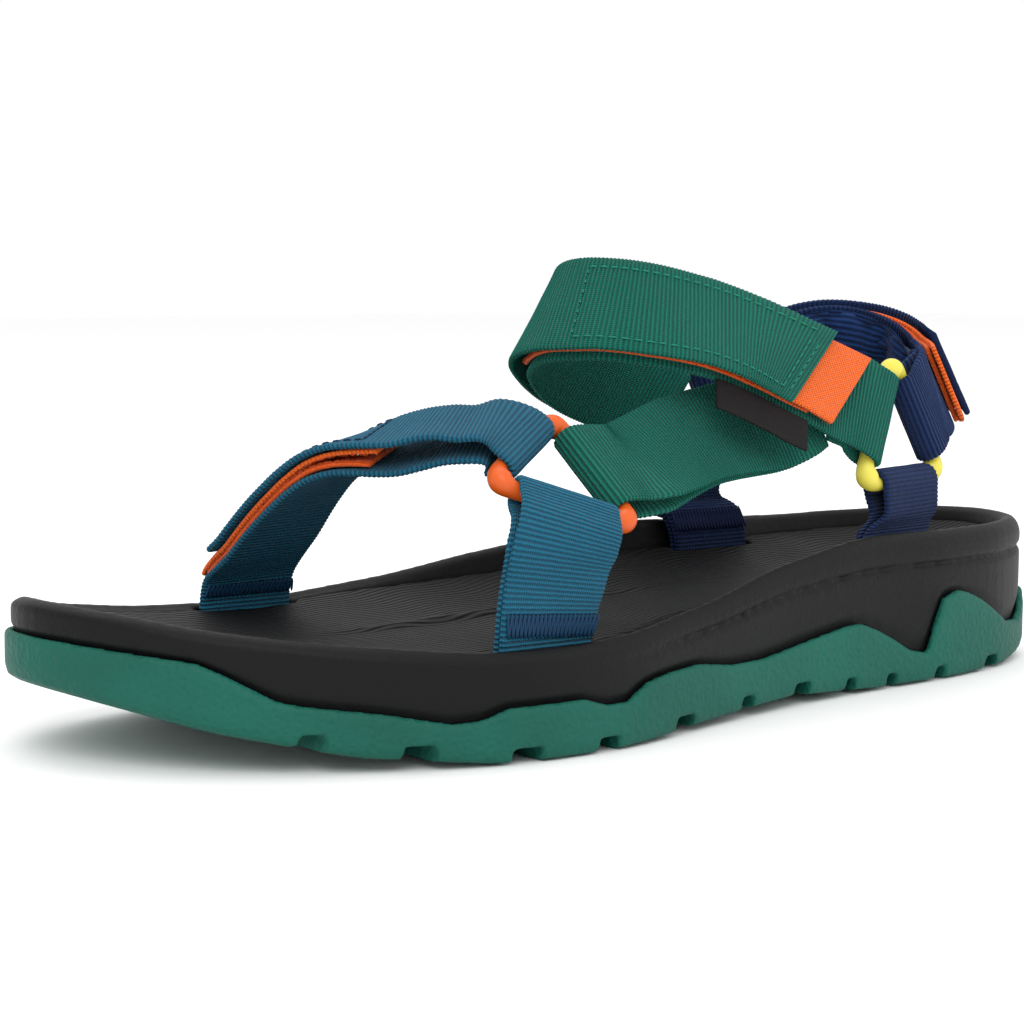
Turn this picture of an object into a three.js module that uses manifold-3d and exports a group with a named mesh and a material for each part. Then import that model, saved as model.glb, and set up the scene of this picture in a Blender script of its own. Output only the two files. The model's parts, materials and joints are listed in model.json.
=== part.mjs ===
// Strappy sport sandal for the left foot, in millimetres.
// +Z is up, +X points to the heel and -Y to the outer side of the foot.
import * as THREE from "three";
import { mergeVertices } from "three/addons/utils/BufferGeometryUtils.js";
import Module from "manifold-3d";

const wasm = await Module();
wasm.setup();

// Sole
const SOLE_LENGTH = 292;
const SOLE_WIDTH = 110;
const TREAD_DEPTH = 5.2; // rubber under the foam
const WRAP_WALL = 2; // rubber round the side of the foam
const SIDE_INSET = 1.4; // the foam stands this far inside the rubber's face
const GROOVE_DEPTH = 1.3; // the two long grooves in the foam's side
const RIM_WIDTH = 6.5;
const FOOTBED_THICK = 3;
const NOTCH_DEPTH = 3.6; // tread grooves
const SHANK_LENGTH = 86;
const SHANK_WIDTH = 24;
const SHANK_THICK = 1.6;

// Webbing and tapes
const WEB_WIDTH = 25;
const WEB_THICK = 1.5;
const TAPE_WIDTH = 22;
const TAPE_THICK = 1.2;
const LABEL_WIDTH = 8.5;
const LABEL_THICK = 0.8;
const TACK_THICK = 0.5;
const TACK_LENGTH = 5;
const ANCHOR_DEPTH = 7; // webbing buried in the footbed and foam
const PAD_THICK = 3;
const PAD_WIDTH = 24;

// Rings
const RING_SIDE = 38; // sharp corner to sharp corner
const RING_CORNER = 4; // centreline radius of a corner
const BAR_RADIUS = 2;
const CORNER_RADIUS = 3.3;

const GAP = 0.3;
const LOOP_RADIUS = BAR_RADIUS + GAP + WEB_THICK / 2;
const WEB_AT_BAR = RING_SIDE - 2 * RING_CORNER * Math.sqrt(3) - 4 * GAP;
const LAYER_PITCH = WEB_THICK + 1.4 * GAP;
const TAPE_GAP = 0.45;
const TAPE_PITCH = (WEB_THICK + TAPE_THICK) / 2 + TAPE_GAP;
const STACK_PITCH = WEB_THICK + 2 * TAPE_THICK + 3 * TAPE_GAP;

const colours = {
  rubber: 0x1f7a67,
  foam: 0x1d1d1f,
  nylon: 0xd8d4c8,
  teal: 0x22708f,
  green: 0x0c6b55,
  navy: 0x172a55,
  orange: 0xf0641e,
  yellow: 0xe9df3f,
  label: 0x2a2728,
};

const vec = (x, y, z) => new THREE.Vector3(x, y, z);
const mix = THREE.MathUtils.lerp;
const ease = (t) => THREE.MathUtils.smoothstep(t, 0, 1);

// ---- meshes -------------------------------------------------------------

function signedVolume(geometry) {
  const position = geometry.getAttribute("position");
  const index = geometry.getIndex();
  const [a, b, c] = [vec(0, 0, 0), vec(0, 0, 0), vec(0, 0, 0)];
  let volume = 0;
  for (let i = 0; i < index.count; i += 3) {
    a.fromBufferAttribute(position, index.getX(i));
    b.fromBufferAttribute(position, index.getX(i + 1));
    c.fromBufferAttribute(position, index.getX(i + 2));
    volume += a.dot(b.cross(c)) / 6;
  }
  return volume;
}

function closedGeometry(points, faces) {
  const geometry = new THREE.BufferGeometry();
  geometry.setAttribute("position", new THREE.Float32BufferAttribute(points.flatMap((p) => p.toArray()), 3));
  geometry.setIndex(faces.flat());
  if (signedVolume(geometry) < 0) {
    geometry.setIndex(faces.map(([i, j, k]) => [i, k, j]).flat());
  }
  return geometry;
}

// Joins rings of points, all of one length, and closes both ends.
function loft(rings) {
  const count = rings[0].length;
  const faces = [];
  for (let r = 0; r + 1 < rings.length; r += 1) {
    for (let i = 0; i < count; i += 1) {
      const [a, b] = [r * count + i, r * count + ((i + 1) % count)];
      faces.push([a, b, b + count], [a, b + count, a + count]);
    }
  }
  const cap = (ring, start, flip) => {
    const flat = ring.map((p) => new THREE.Vector2(p.x, p.y));
    const turned = THREE.ShapeUtils.isClockWise(flat) !== flip;
    THREE.ShapeUtils.triangulateShape(flat, []).forEach(([i, j, k]) => {
      faces.push(turned ? [start + i, start + j, start + k] : [start + i, start + k, start + j]);
    });
  };
  cap(rings[0], 0, false);
  cap(rings[rings.length - 1], (rings.length - 1) * count, true);
  return closedGeometry(rings.flat(), faces);
}

function toSolid(geometry) {
  const clean = geometry.clone();
  clean.deleteAttribute("normal");
  clean.deleteAttribute("uv");
  const merged = mergeVertices(clean, 1e-5);
  return new wasm.Manifold(
    new wasm.Mesh({
      numProp: 3,
      vertProperties: new Float32Array(merged.getAttribute("position").array),
      triVerts: new Uint32Array(merged.getIndex().array),
    }),
  );
}

function fromSolid(solid) {
  const mesh = solid.getMesh();
  const geometry = new THREE.BufferGeometry();
  geometry.setAttribute("position", new THREE.Float32BufferAttribute(mesh.vertProperties, 3));
  geometry.setIndex(Array.from(mesh.triVerts));
  return geometry;
}

function cut(geometry, cutters) {
  const left = cutters.reduce((solid, cutter) => solid.subtract(toSolid(cutter)), toSolid(geometry));
  return fromSolid(left);
}

const sandal = new THREE.Group();

function addPart(name, geometry, color, roughness = 0.85) {
  const mesh = new THREE.Mesh(geometry, new THREE.MeshStandardMaterial({ color, roughness, metalness: 0 }));
  mesh.name = name;
  sandal.add(mesh);
}

// ---- sole outline -------------------------------------------------------

// Along (share of half length), across (share of half width) and height of the rim.
const OUTLINE = [
  [1, 0, 38.5],
  [0.95, -0.37, 38.5],
  [0.82, -0.58, 38.5],
  [0.65, -0.68, 38.7],
  [0.43, -0.72, 38.8],
  [0.21, -0.79, 34.6],
  [-0.01, -0.91, 28.4],
  [-0.23, -1.04, 24.9],
  [-0.45, -1.02, 24.2],
  [-0.66, -0.82, 26.8],
  [-0.83, -0.54, 30],
  [-0.95, -0.17, 33.4],
  [-1, 0.21, 34.5],
  [-0.96, 0.53, 33],
  [-0.83, 0.77, 28.6],
  [-0.66, 0.88, 25.6],
  [-0.45, 0.93, 24.4],
  [-0.23, 0.85, 27.6],
  [-0.01, 0.71, 33.6],
  [0.21, 0.64, 38.4],
  [0.43, 0.64, 37.6],
  [0.65, 0.66, 36.6],
  [0.82, 0.57, 37],
  [0.95, 0.35, 38],
];

// Underside of the tread: along, height. The arch and the toe stand clear of the ground.
const FLOOR = [
  [1, 5.5],
  [0.94, 2.6],
  [0.82, 0.4],
  [0.65, 0],
  [0.43, 0.4],
  [0.21, 2.4],
  [-0.01, 1.4],
  [-0.23, 0],
  [-0.45, 0],
  [-0.66, 3.2],
  [-0.83, 8.8],
  [-0.95, 14.6],
  [-1, 17],
];
const OUTLINE_STEPS = 5; // per outline point

// Footbed's height down the middle, heel to toe.
const BED_HEIGHTS = [
  [1, 32],
  [0.8, 29.3],
  [0.35, 27.6],
  [0.1, 25.5],
  [-0.14, 23.5],
  [-0.38, 22.4],
  [-0.62, 22.4],
  [-0.82, 24.6],
  [-1, 29],
];

// Top of the rubber's wrap along each side: along, height.
const WRAP_EDGE = [
  [1, 19],
  [0.95, 18.5],
  [0.89, 11],
  [0.82, 12],
  [0.73, 19],
  [0.66, 23],
  [0.61, 22],
  [0.58, 8],
  [0.54, 7.5],
  [0.45, 14.5],
  [0.39, 17.8],
  [0.35, 17.6],
  [0.23, 15.2],
  [0.13, 13.4],
  [0.04, 13.6],
  [-0.05, 15.6],
  [-0.16, 14.8],
  [-0.2, 13.4],
  [-0.24, 9.5],
  [-0.265, 9.5],
  [-0.29, 12.6],
  [-0.46, 12.4],
  [-0.5, 9.8],
  [-0.54, 9.8],
  [-0.63, 12.6],
  [-0.76, 15.2],
  [-0.83, 21.5],
  [-0.86, 23.8],
  [-1, 27],
];

// Centres of the tread's cross grooves, along, and their widths.
const TREAD_GROOVES = [
  [-0.72, 5],
  [-0.58, 7],
  [-0.42, 7.5],
  [-0.27, 6],
  [-0.09, 7],
  [0.08, 5],
  [0.23, 6],
  [0.36, 4],
  [0.47, 4],
  [0.6, 4],
  [0.76, 6],
];

const halfLength = SOLE_LENGTH / 2;
const halfWidth = SOLE_WIDTH / 2;

function tableValue(table, along) {
  const rows = [...table].sort((a, b) => a[0] - b[0]);
  const last = rows.length - 1;
  const right = Math.max(1, rows.findIndex((row) => row[0] >= along));
  const upper = along > rows[last][0] ? last : right;
  const [x0, y0] = rows[upper - 1];
  const [x1, y1] = rows[upper];
  return mix(y0, y1, THREE.MathUtils.clamp((along - x0) / (x1 - x0), 0, 1));
}

const bedHeight = (x) => tableValue(BED_HEIGHTS, x / halfLength);
const floorHeight = (x) => tableValue(FLOOR, x / halfLength);
const foamBase = (x) => floorHeight(x) + TREAD_DEPTH;

function outlineSamples() {
  const place = new THREE.CatmullRomCurve3(
    OUTLINE.map(([along, across]) => vec(along * halfLength, across * halfWidth, 0)),
    true,
    "centripetal",
  );
  const heights = new THREE.CatmullRomCurve3(
    OUTLINE.map(([, , rim]) => vec(0, rim, 0)),
    true,
    "catmullrom",
    0.4,
  );
  const count = OUTLINE.length * OUTLINE_STEPS;
  return Array.from({ length: count }, (_, i) => {
    const p = place.getPoint(i / count);
    const tangent = place.getTangent(i / count);
    const h = heights.getPoint(i / count);
    const inward = vec(tangent.y, -tangent.x, 0);
    if (inward.dot(p) > 0) inward.negate();
    return { p, inward, rim: h.y, wrap: tableValue(WRAP_EDGE, p.x / halfLength) };
  });
}

const outline = outlineSamples();

// The middle line that the sole's top and bottom faces close on.
function middle(p) {
  const x = THREE.MathUtils.clamp(p.x, -0.76 * halfLength, 0.76 * halfLength);
  return vec(x, p.x < 0 ? mix(-1.5, 2, -x / halfLength) : -1.5, 0);
}

function soleRing(inset, height) {
  return outline.map((o) => {
    const p = o.p.clone().addScaledVector(o.inward, inset);
    return vec(p.x, p.y, height(o, p));
  });
}

function insideRing(inset, share, height) {
  return outline.map((o) => {
    const edge = o.p.clone().addScaledVector(o.inward, inset);
    const p = edge.clone().lerp(middle(edge), share);
    return vec(p.x, p.y, height(o, p));
  });
}

const CAP_SHARES = [0.2, 0.45, 0.72, 0.93];
const bedEdge = (o) => Math.min(o.rim - 1.2, mix(o.rim - 1.2, bedHeight(o.p.x) + 2.2, 0.75));
const bedInset = RIM_WIDTH + 1.2;
const bedTop = (share) => (o, p) => mix(bedEdge(o), bedHeight(p.x), 1 - (1 - share) ** 2);
const bedUnder = (share) => (o, p) => bedTop(share)(o, p) - FOOTBED_THICK;
const recess = (share) => (o, p) => bedUnder(share)(o, p) - GAP;

// The foam's side above the rubber: it starts here, and has its groove at grooveLevel.
const sideStart = (o) => Math.max(foamBase(o.p.x) + 2.2, o.wrap + GAP);
const grooveLevel = (o) => Math.max(mix(foamBase(o.p.x), o.rim, 0.74), mix(sideStart(o), o.rim, 0.3));
const grooveHalf = (o) => Math.min(1.1, 0.1 * (o.rim - sideStart(o)));

// Grooves fade in from the middle of the foot to the heel.
const grooveDepth = (o) => GROOVE_DEPTH * ease((o.p.x / halfLength + 0.3) / 0.25);

function grooveRings() {
  const step = (shift, deep) =>
    outline.map((o) => {
      const p = o.p.clone().addScaledVector(o.inward, SIDE_INSET + deep * grooveDepth(o));
      return vec(p.x, p.y, grooveLevel(o) + shift * grooveHalf(o));
    });
  return [step(-1, 0), step(-0.3, 1), step(0.3, 1), step(1, 0)];
}

// A height below the rim, eased where the side is too low to hold it.
const belowRim = (drop, share) => (o) => o.rim - Math.min(drop, share * (o.rim - grooveLevel(o) - grooveHalf(o)));

function footbedGeometry() {
  const under = CAP_SHARES.map((s) => insideRing(bedInset + GAP, s, bedUnder(s))).reverse();
  const top = CAP_SHARES.map((s) => insideRing(bedInset + GAP, s, bedTop(s)));
  const edge = [bedUnder(0), bedTop(0)].map((height) => soleRing(bedInset + GAP, height));
  return loft([...under, ...edge, ...top]);
}

const wallInset = WRAP_WALL + GAP;
const floorInset = wallInset + 1.5;

function midsoleGeometry() {
  const base = (o, p) => foamBase(p.x);
  const under = CAP_SHARES.map((s) => insideRing(floorInset, s, base)).reverse();
  const low = [
    soleRing(floorInset, base),
    soleRing(wallInset, (o, p) => foamBase(p.x) + 1.5),
    soleRing(wallInset, sideStart),
    soleRing(SIDE_INSET, (o) => mix(sideStart(o), grooveLevel(o), 0.2)),
  ];
  const high = [
    ...grooveRings(),
    soleRing(SIDE_INSET, belowRim(4, 0.7)),
    soleRing(SIDE_INSET + 0.8, belowRim(1.8, 0.4)),
    soleRing(SIDE_INSET + 2.4, (o) => o.rim - 0.3),
    soleRing(RIM_WIDTH - 1.6, (o) => o.rim - 0.3),
    soleRing(RIM_WIDTH, (o) => o.rim - 1.4),
    soleRing(bedInset, (o) => bedEdge(o) - 0.2),
  ];
  const floor = [soleRing(bedInset, recess(0)), ...CAP_SHARES.map((s) => insideRing(bedInset, s, recess(s)))];
  return loft([...under, ...low, ...high, ...floor]);
}

function outsoleGeometry() {
  const above = (height) => (o, p) => floorHeight(p.x) + height;
  const inside = above(TREAD_DEPTH - GAP);
  const under = CAP_SHARES.map((s) => insideRing(3, s, above(0))).reverse();
  const outer = [
    soleRing(3, above(0)),
    soleRing(0.6, above(0.8)),
    soleRing(0, above(3)),
    soleRing(0, (o) => o.wrap - 0.9),
    soleRing(0.6, (o) => o.wrap),
    soleRing(WRAP_WALL, (o) => o.wrap),
    soleRing(WRAP_WALL, above(TREAD_DEPTH + 1.2 - GAP)),
    soleRing(floorInset, inside),
  ];
  const floor = CAP_SHARES.map((s) => insideRing(floorInset, s, inside));
  return loft([...under, ...outer, ...floor]);
}

// ---- routes -------------------------------------------------------------

// Strap routes are drawn in millimetres on a last of this size and follow the sole's.
const LAST = { length: 292, width: 110 };
const spot = (x, y, z) => vec((x * SOLE_LENGTH) / LAST.length, (y * SOLE_WIDTH) / LAST.width, z);

// A point beside the footbed's edge: side is -1 for the outer side and 1 for the inner one.
function bedSide(lastX, side, depth) {
  const x = spot(lastX, 0, 0).x;
  const near = outline.filter((o) => Math.sign(o.p.y) === side);
  const nearest = near.reduce((a, b) => (Math.abs(b.p.x - x) < Math.abs(a.p.x - x) ? b : a));
  return vec(x, nearest.p.y - side * (bedInset + depth), bedEdge(nearest));
}

// A route is a smooth line of stations [point, width direction].
// A square route turns its width direction square to itself; a sheared one keeps it as given.
class Route {
  constructor(stations, sheared = false) {
    this.sheared = sheared;
    const middleLine = new THREE.CatmullRomCurve3(stations.map(([p]) => p), false, "centripetal");
    const widthLine = new THREE.CatmullRomCurve3(stations.map(([, w]) => w.clone().normalize()), false, "catmullrom", 0);
    const count = (stations.length - 1) * 16;
    this.points = Array.from({ length: count + 1 }, (_, i) => middleLine.getPoint(i / count));
    this.widths = Array.from({ length: count + 1 }, (_, i) => widthLine.getPoint(i / count));
    this.lengths = [0];
    for (let i = 1; i <= count; i += 1) {
      this.lengths.push(this.lengths[i - 1] + this.points[i].distanceTo(this.points[i - 1]));
    }
    this.length = this.lengths[count];
  }

  at(s) {
    const last = this.lengths.length - 1;
    const right = THREE.MathUtils.clamp(this.lengths.findIndex((l) => l >= s), 1, last);
    const i = s > this.length ? last : right;
    const share = (s - this.lengths[i - 1]) / (this.lengths[i] - this.lengths[i - 1]);
    const p = this.points[i - 1].clone().lerp(this.points[i], share);
    const behind = this.points[Math.max(0, i - 2)];
    const ahead = this.points[Math.min(last, i + 1)];
    const t = ahead.clone().sub(behind).normalize();
    const w = this.widths[i - 1].clone().lerp(this.widths[i], share);
    if (!this.sheared) w.addScaledVector(t, -w.dot(t));
    w.normalize();
    return { p, t, w, n: t.clone().cross(w).normalize() };
  }
}

// Frames along part of a route, set off from it by offset(s), and shifted sideways by shift.
// All pieces on one route share its stops, so that stacked layers stay parallel.
function framesOn(route, from, to, offset, { step = 5, width = WEB_WIDTH, shift = 0 } = {}) {
  const [low, high] = [Math.min(from, to), Math.max(from, to)];
  const grid = [];
  for (let s = Math.ceil(low / step + 0.1) * step; s < high - 0.1 * step; s += step) grid.push(s);
  const stops = from < to ? [from, ...grid, to] : [from, ...grid.reverse(), to];
  return stops.map((s) => {
    const f = route.at(s);
    const p = f.p.clone().addScaledVector(f.n, offset(s)).addScaledVector(f.w, shift);
    const n = f.n.clone().multiplyScalar(Math.sign(to - from));
    return { p, w: f.w, n, t: f.t, s, forward: from < to, width: typeof width === "function" ? width(s) : width };
  });
}

// Half a turn of webbing round a bar at the end of a route, from one face to the other.
function turnRound({ p, t, n, w }, outward, firstSide) {
  return [30, 60, 90, 120, 150].map((angle) => {
    const a = THREE.MathUtils.degToRad(angle);
    const radial = n.clone().multiplyScalar(firstSide * Math.cos(a)).addScaledVector(t, outward * Math.sin(a));
    const point = p.clone().addScaledVector(radial, LOOP_RADIUS);
    return { p: point, w, n: radial.multiplyScalar(firstSide * outward), forward: true, width: WEB_AT_BAR };
  });
}

// A flat band through its frames. Both faces of a twisted band fold along the same diagonals,
// so that stacked bands stay clear of each other.
function ribbon(frames, thick) {
  const rings = frames.map(({ p, w, n, width }) => {
    const corner = (a, b) => p.clone().addScaledVector(w, (a * width) / 2).addScaledVector(n, (b * thick) / 2);
    return [corner(-1, -1), corner(1, -1), corner(1, 1), corner(-1, 1)];
  });
  const faces = [];
  for (let r = 0; r + 1 < rings.length; r += 1) {
    for (let i = 0; i < 4; i += 1) {
      const [a, b] = [r * 4 + i, r * 4 + ((i + 1) % 4)];
      if ((i === 0) === frames[r].forward) {
        faces.push([a, b, b + 4], [a, b + 4, a + 4]);
      } else {
        faces.push([a, b, a + 4], [b, b + 4, a + 4]);
      }
    }
  }
  const end = (rings.length - 1) * 4;
  faces.push([0, 2, 1], [0, 3, 2], [end, end + 1, end + 2], [end, end + 2, end + 3]);
  return closedGeometry(rings.flat(), faces);
}

// ---- rings --------------------------------------------------------------

// Corner directions: up, then turned a third of a turn each way about the normal.
function makeRing({ centre, normal, up }) {
  const n = normal.normalize();
  const u = up.addScaledVector(n, -up.dot(n)).normalize();
  const corners = [0, 120, -120].map((a) => u.clone().applyAxisAngle(n, THREE.MathUtils.degToRad(a)));
  const bar = (i, j) => {
    const out = corners[i].clone().add(corners[j]).normalize();
    const along = corners[i].clone().sub(corners[j]).normalize();
    return { centre: centre.clone().addScaledVector(out, RING_SIDE / (2 * Math.sqrt(3))), out, along };
  };
  return { centre, n, corners, left: bar(0, 1), base: bar(1, 2), right: bar(2, 0) };
}

function ringGeometry({ centre, n, corners }) {
  const sharp = RING_SIDE / Math.sqrt(3);
  const sections = [];
  corners.forEach((corner, k) => {
    const hub = centre.clone().addScaledVector(corner, sharp - 2 * RING_CORNER);
    for (const angle of [-60, -30, 0, 30, 60]) {
      const out = corner.clone().applyAxisAngle(n, THREE.MathUtils.degToRad(angle));
      const thick = mix(BAR_RADIUS, CORNER_RADIUS, Math.cos(THREE.MathUtils.degToRad(angle * 1.5)) ** 2);
      sections.push({ p: hub.clone().addScaledVector(out, RING_CORNER), out, radius: thick });
    }
    const next = corners[(k + 1) % 3];
    const out = corner.clone().add(next).normalize();
    const mid = centre.clone().addScaledVector(out, RING_SIDE / (2 * Math.sqrt(3)));
    sections.push({ p: mid, out, radius: BAR_RADIUS });
  });
  const sides = 10;
  const rings = sections.map(({ p, out, radius }) =>
    Array.from({ length: sides }, (_, i) => {
      const a = (i / sides) * Math.PI * 2;
      return p.clone().addScaledVector(out, radius * Math.cos(a)).addScaledVector(n, radius * Math.sin(a));
    }),
  );
  const faces = [];
  rings.forEach((_, r) => {
    const [here, there] = [r * sides, ((r + 1) % rings.length) * sides];
    for (let i = 0; i < sides; i += 1) {
      const j = (i + 1) % sides;
      faces.push([here + i, here + j, there + j], [here + i, there + j, there + i]);
    }
  });
  return closedGeometry(rings.flat(), faces);
}

const toeRing = makeRing({ centre: spot(-34.2, -32.4, 58.5), normal: vec(0.04, -0.64, 0.77), up: vec(0.45, 0.7, 0.56) });
const outerRing = makeRing({ centre: spot(83.6, -24.4, 61.5), normal: vec(0.19, -0.97, 0.12), up: vec(-0.03, 0.11, 1) });
const innerHeelRing = makeRing({ centre: spot(58.5, 29.5, 61.5), normal: vec(0.1, 0.985, 0.12), up: vec(0, -0.12, 1) });

// ---- doubled straps -----------------------------------------------------

// Webbing narrows to fit the bar that it goes round.
const narrow = (distance) => mix(WEB_AT_BAR, WEB_WIDTH, ease((distance - 5) / 8));

// How far each layer of a doubled strap lies from its route.
const layerLift = (route, openLength) => (s) =>
  mix(LAYER_PITCH / 2, LOOP_RADIUS, ease((s - (route.length - openLength)) / openLength));

// Webbing that runs along a route, round a bar at its end and back.
function doubledStrap(route, openLength = 22) {
  const half = layerLift(route, openLength);
  const width = (s) => narrow(route.length - s);
  const there = framesOn(route, 0, route.length, half, { width });
  const back = framesOn(route, route.length, 0, (s) => -half(s), { width });
  return [...there, ...turnRound(route.at(route.length), 1, 1), ...back];
}

// A bar's direction, turned to lie along a wanted one.
function facing(bar, wanted) {
  return bar.along.clone().multiplyScalar(Math.sign(bar.along.dot(wanted)));
}

// The last straight stretch of a route, square to the bar that it ends on.
const barEnd = (bar, wanted, reach = 9) =>
  [reach, reach / 2, 0].map((d) => [bar.centre.clone().addScaledVector(bar.out, d), facing(bar, wanted)]);

function buried(foot) {
  return foot.clone().add(vec(0, 0, -ANCHOR_DEPTH));
}

function anchorRoute({ foot, lean, bar, width }) {
  const stations = [
    [buried(foot), width],
    [foot, width],
    [lean, width.clone().lerp(facing(bar, width), 0.5)],
    ...barEnd(bar, width, 8),
  ];
  return new Route(stations, true);
}

const doubleDepth = (LAYER_PITCH + WEB_THICK) / 2 + 2 * GAP;
const singleDepth = WEB_THICK / 2 + 2 * GAP;
const alongSole = vec(1, 0, 0);

const toeAnchorRoute = anchorRoute({
  foot: bedSide(-51, -1, doubleDepth),
  lean: spot(-47, -47.5, 40),
  bar: toeRing.base,
  width: alongSole,
});
const outerAnchorRoute = anchorRoute({
  foot: bedSide(77.5, -1, doubleDepth),
  lean: spot(80.5, -27.2, 39),
  bar: outerRing.base,
  width: alongSole,
});
const innerAnchorRoute = anchorRoute({
  foot: bedSide(64, 1, doubleDepth),
  lean: spot(62, 26, 39),
  bar: innerHeelRing.base,
  width: alongSole,
});

// ---- adjustable straps --------------------------------------------------

const toeFoot = bedSide(-71, 1, singleDepth);
const toeRoute = new Route([
  [buried(toeFoot), alongSole],
  [toeFoot, alongSole],
  [spot(-71, 41, 29.5), alongSole],
  [spot(-71, 31.5, 37.5), vec(1, 0.1, 0.04)],
  [spot(-65.5, 11, 57), vec(0.95, 0.3, 0.08)],
  [spot(-54, -8, 62.5), vec(0.85, 0.4, 0.28)],
  ...barEnd(toeRing.left, alongSole, 5),
]);

const down = vec(0, 0, -1);
const instepRoute = new Route([
  ...barEnd(outerRing.left, down).reverse(),
  [spot(46, -27, 79), vec(-0.5, -0.35, -0.8)],
  [spot(19, -22, 89), vec(-0.4, -0.45, -0.8)],
  [spot(0, -12, 93.5), vec(-0.45, -0.3, -0.84)],
  [spot(-5, 1, 93), vec(-0.5, 0, -0.86)],
  [spot(2, 15, 88), vec(-0.45, 0.2, -0.86)],
  [spot(19, 25, 79), vec(-0.35, 0.3, -0.88)],
  ...barEnd(innerHeelRing.right, down),
]);

const up = vec(0, 0, 1);
const heelRoute = new Route([
  ...barEnd(outerRing.right, up).reverse(),
  [spot(109, -14, 73), vec(-0.45, 0.1, 0.88)],
  [spot(117, -2, 76), vec(-0.55, 0, 0.83)],
  [spot(113, 12, 81), vec(-0.45, -0.1, 0.88)],
  [spot(99, 22, 82), vec(-0.35, -0.1, 0.93)],
  ...barEnd(innerHeelRing.left, up),
]);

// The strap lies away from the bar by the loop's radius, then closes in over openLength.
const away = (distance, openLength) => LOOP_RADIUS * ease(1 - distance / openLength);

// Distances from the bar: hinge, where the flap lets go; tip and tab, the ends of flap and hook tape;
// tape and tapeEnd, the loop tape. folded is the length of the sewn fold at the route's other end.
const toeEnd = toeRoute.length - ANCHOR_DEPTH - 6; // the toe flap stops above the footbed
const toeFit = {
  route: toeRoute,
  open: 20,
  folded: 0,
  bulge: 1.6,
  hinge: 30,
  tip: Math.min(81, toeEnd - 7),
  tab: Math.min(88, toeEnd),
  tape: 33,
  tapeEnd: Math.min(86, toeEnd - 2),
};
const instepFit = {
  route: instepRoute,
  open: 18,
  folded: 17,
  bulge: 0,
  hinge: 76,
  tip: 137,
  tab: 152,
  slant: 0.6,
  tape: 58,
  tapeEnd: 138,
};
const heelFit = { route: heelRoute, open: 16, folded: 16, bulge: 0, hinge: 46, tip: 76, tab: 84, tape: 42, tapeEnd: 82 };

const HINGE_GAP = 2 * GAP;

// Where the webbing's middle lies off the route, at length s along it: the fixed layer, then the flap over it.
const baseLift = ({ route, open, folded }) => (s) => (folded ? away(s, open) : 0) - away(route.length - s, open);

const flapLift = ({ route, open, bulge, folded }) => (s) => {
  const d = route.length - s;
  const slack = bulge * ease(d / 8) * ease(1.9 - d / 30);
  return Math.max(away(d, open), STACK_PITCH * ease((d - 2) / open)) + slack + (folded ? away(s, open) : 0);
};

// The fixed webbing: from the route's start to the bar, round it, and back to the bend line.
function strapFrames(fit) {
  const { route, open, hinge, folded } = fit;
  const end = route.length;
  const width = (s) => Math.min(narrow(end - s), folded ? narrow(s) : WEB_WIDTH);
  const main = framesOn(route, 0, end, baseLift(fit), { width });
  const back = framesOn(route, end, end - hinge, flapLift(fit), { width });
  const tailDrop = (s) => Math.max(away(s, open), LAYER_PITCH * ease(s / 12) - away(s, open));
  const tail = folded
    ? [...framesOn(route, folded, 0, (s) => -tailDrop(s), { width }), ...turnRound(route.at(0), -1, -1)]
    : [];
  return [...tail, ...main, ...turnRound(route.at(end), 1, -1), ...back];
}

// The flap's end may be cut on a slant: one edge then stops short of the other.
const slanted = (frames, { route, tip, slant = 0 }) =>
  frames.map((f) => {
    const share = ease((f.s - (route.length - tip + 25)) / -25);
    return { ...f, w: f.w.clone().addScaledVector(f.t, slant * share) };
  });

function flapFrames(fit) {
  const { route, hinge, tip } = fit;
  return slanted(framesOn(route, route.length - hinge - HINGE_GAP, route.length - tip, flapLift(fit)), fit);
}

function hookFrames(fit) {
  const { route, hinge, tab } = fit;
  const lift = flapLift(fit);
  const start = route.length - hinge - HINGE_GAP;
  const under = (s) => lift(s) - TAPE_PITCH;
  return slanted(framesOn(route, start, route.length - tab, under, { width: TAPE_WIDTH }), fit);
}

function loopFrames(fit) {
  const { route, tape, tapeEnd } = fit;
  const lift = baseLift(fit);
  const over = (s) => lift(s) + TAPE_PITCH;
  return framesOn(route, route.length - tape, route.length - tapeEnd, over, { width: TAPE_WIDTH });
}

// A pad lines the heel strap between its two rings.
function padFrames({ route, open, folded }) {
  const lift = baseLift(heelFit);
  const inset = (s) => lift(s) - WEB_THICK / 2 - GAP - PAD_THICK / 2;
  return framesOn(route, folded + 4, route.length - open - 4, inset, { width: PAD_WIDTH });
}

// ---- side strap and label ----------------------------------------------

const SIDE_END = 22; // along the instep strap, where the side strap is sewn under it
const sideSeam = instepRoute.at(SIDE_END);
const sideDepth = WEB_THICK / 2 + 2 * LAYER_PITCH + 3 * GAP;
const seamPoint = sideSeam.p.clone().addScaledVector(sideSeam.n, -sideDepth).addScaledVector(sideSeam.w, 3);
const sideRoute = new Route([
  [seamPoint, vec(-0.1, 0.1, 1)],
  [spot(44, -22, 68), vec(-0.1, 0.35, 0.9)],
  [spot(12, -25, 64), vec(-0.1, 0.6, 0.75)],
  ...barEnd(toeRing.right, vec(0, 1, 1), 12),
]);

const LABEL_START = 30;
const LABEL_END = 58;
const labelFrames = framesOn(instepRoute, LABEL_START, LABEL_END, () => WEB_THICK, {
  width: LABEL_WIDTH,
  shift: (WEB_WIDTH + LABEL_WIDTH) / 2 + GAP,
});

// ---- parts --------------------------------------------------------------

const POCKET_CLEAR = 1.2;
const SLOT_EDGE = 2.4; // the footbed's slots open through its edge

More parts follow.
